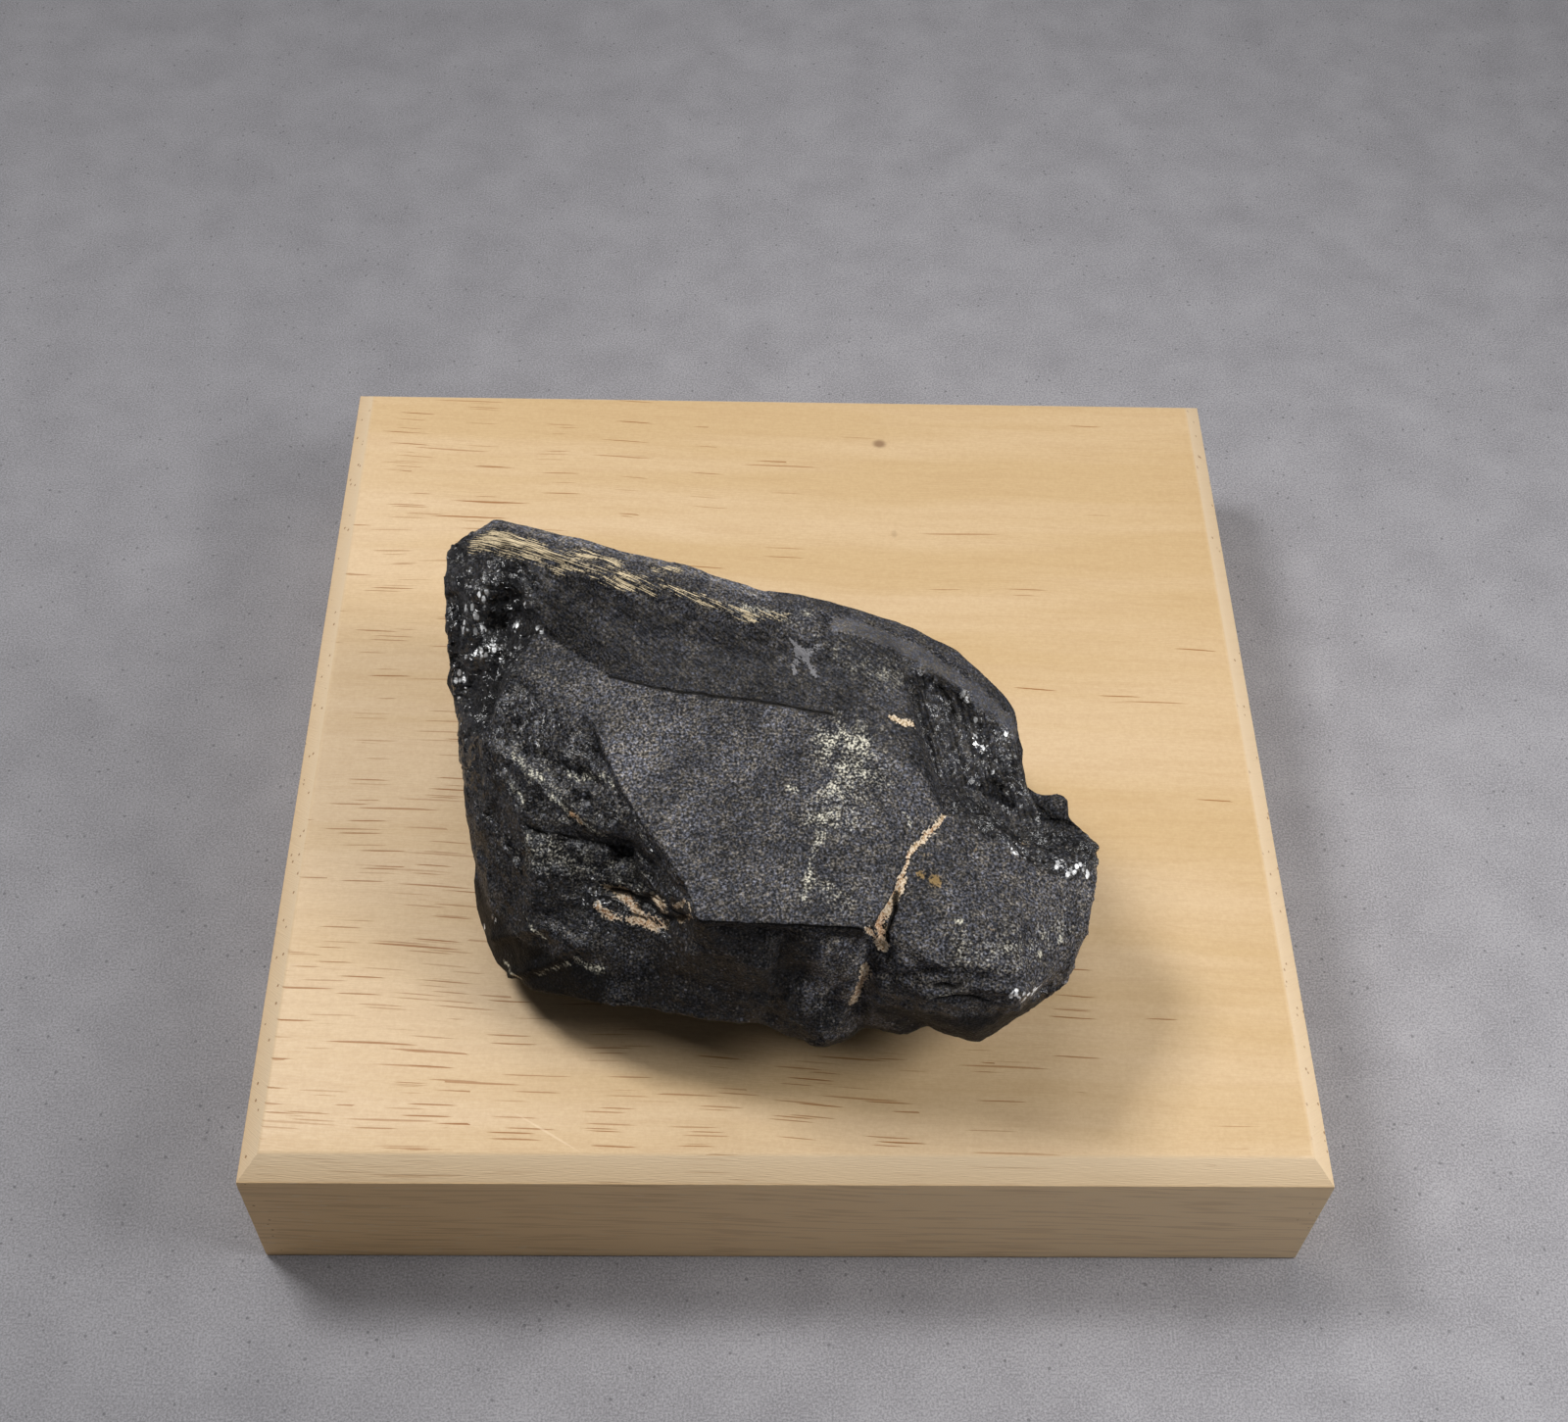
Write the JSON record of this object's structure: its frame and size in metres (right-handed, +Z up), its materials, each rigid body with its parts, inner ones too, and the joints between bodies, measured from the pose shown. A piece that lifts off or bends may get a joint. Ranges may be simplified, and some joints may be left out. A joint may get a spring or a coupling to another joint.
{
  "type": "rutile specimen",
  "caption": "Dark broken rutile crystal mass with flat faces, veins and a ridged back, resting on a chamfered square wooden block.",
  "frame": {"origin": "centre of the wooden block's underside", "axes": "+Z up out of the block's top face, +X to the right and +Y to the back, both along the block's sides"},
  "size_m": [0.1016, 0.1016, 0.0524],
  "materials": {
    "rutile": "matte to glossy dark crystal, with tan mineral veins",
    "base_wood": "bare satin pale wood"
  },
  "bodies": {
    "root": {"rutile_crystal": "rutile", "display_base": "base_wood"}
  },
  "joints": []
}
